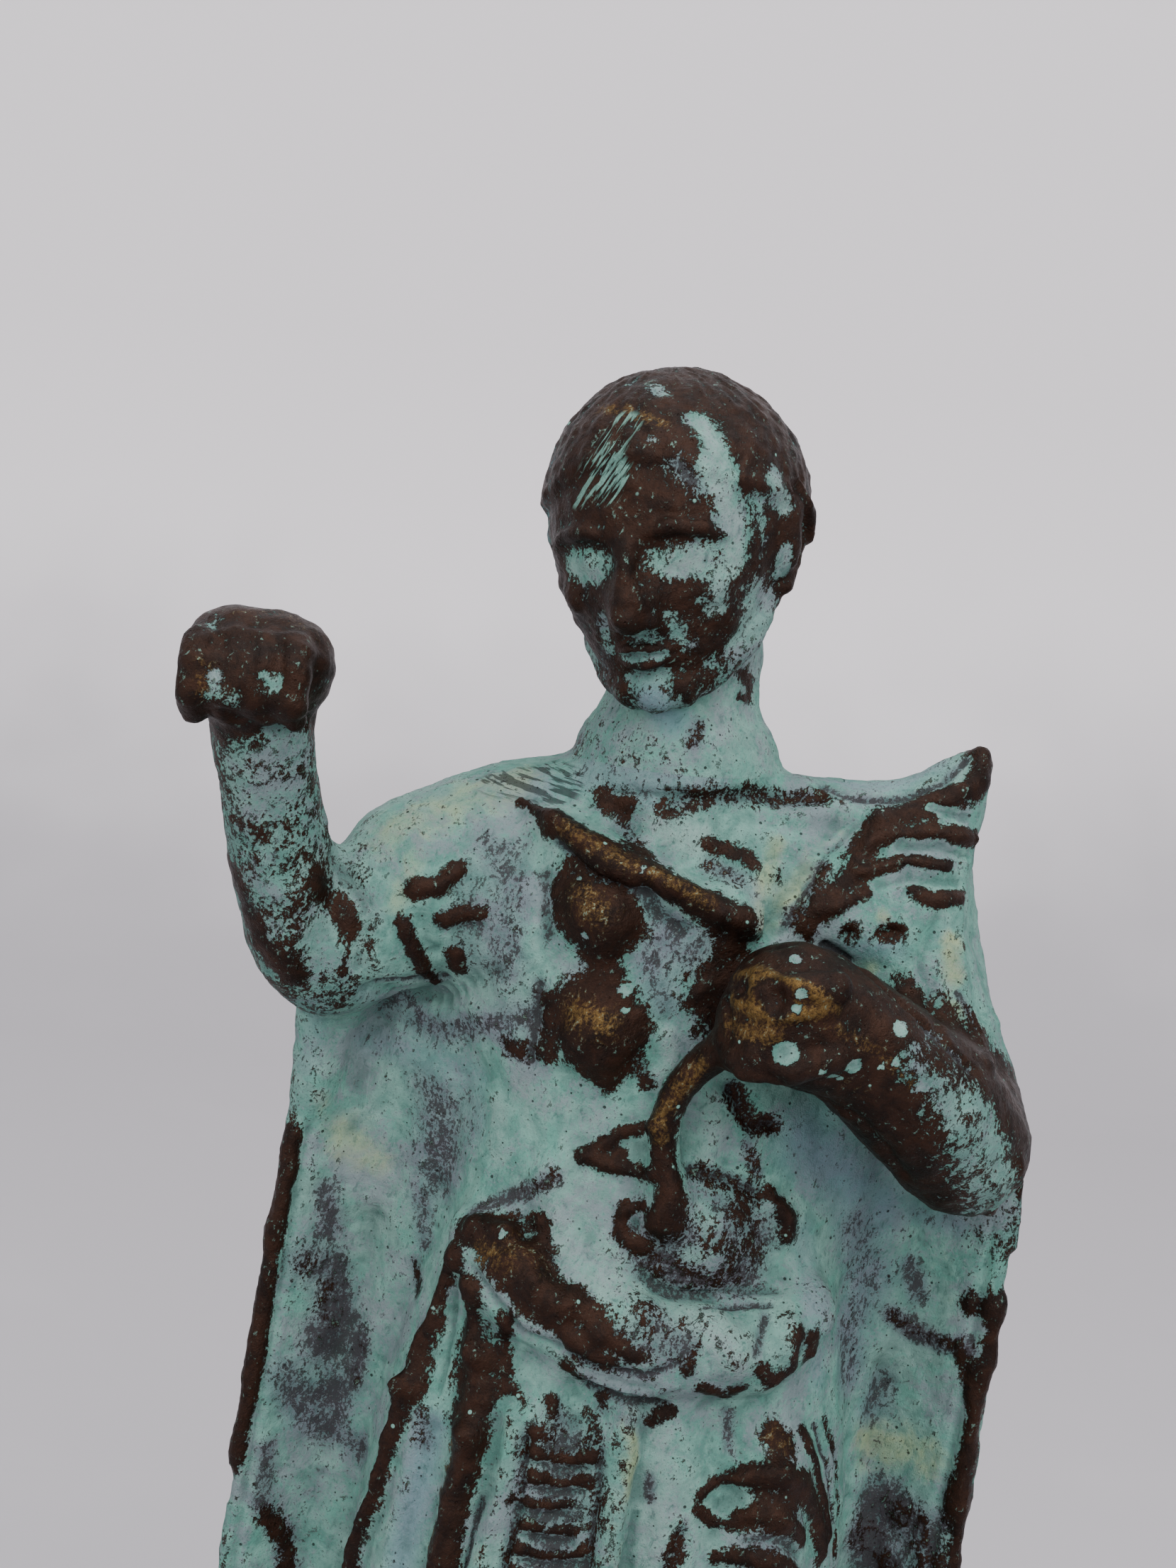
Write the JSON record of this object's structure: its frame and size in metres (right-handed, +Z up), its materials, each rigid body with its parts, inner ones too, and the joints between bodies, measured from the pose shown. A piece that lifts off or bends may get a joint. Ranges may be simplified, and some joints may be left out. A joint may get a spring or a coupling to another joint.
{
  "type": "bronze statuette",
  "caption": "Standing draped male figure in patinated bronze, right fist raised, left arm across the waist holding a fold, wide cloak behind, on a stone plinth.",
  "frame": {"origin": "centre of the plinth's underside, on the surface it stands on", "axes": "+Z up along the figure's height, -Y the way the figure faces, +X towards the figure's left hand"},
  "size_m": [0.073, 0.046, 0.1541],
  "materials": {
    "verdigris_bronze": "matte turquoise verdigris over cast bronze, speckled dark, rubbed on the high places",
    "rubbed_bronze": "dark brown rubbed bronze with golden crests and verdigris in the hollows",
    "marble": "honed black marble with pale veins",
    "steel": "turned steel",
    "felt": "green baize"
  },
  "bodies": {
    "root": {"plinth": "marble", "baize_pad": "felt", "foot_studs": "steel", "stud_washers": "steel", "stud_nuts": "steel", "right_foot": "rubbed_bronze", "left_foot": "rubbed_bronze", "skirt": "verdigris_bronze", "hip_roll": "rubbed_bronze", "waist_dowels": "steel", "torso": "verdigris_bronze", "cloak": "verdigris_bronze", "cloak_rivets": "rubbed_bronze", "shoulder_drape": "verdigris_bronze", "chest_strap": "rubbed_bronze", "left_forearm": "rubbed_bronze", "gripped_fold": "rubbed_bronze", "forearm_dowel": "steel", "raised_forearm": "rubbed_bronze", "elbow_dowel": "steel", "head": "rubbed_bronze", "neck_dowel": "steel"}
  },
  "joints": []
}
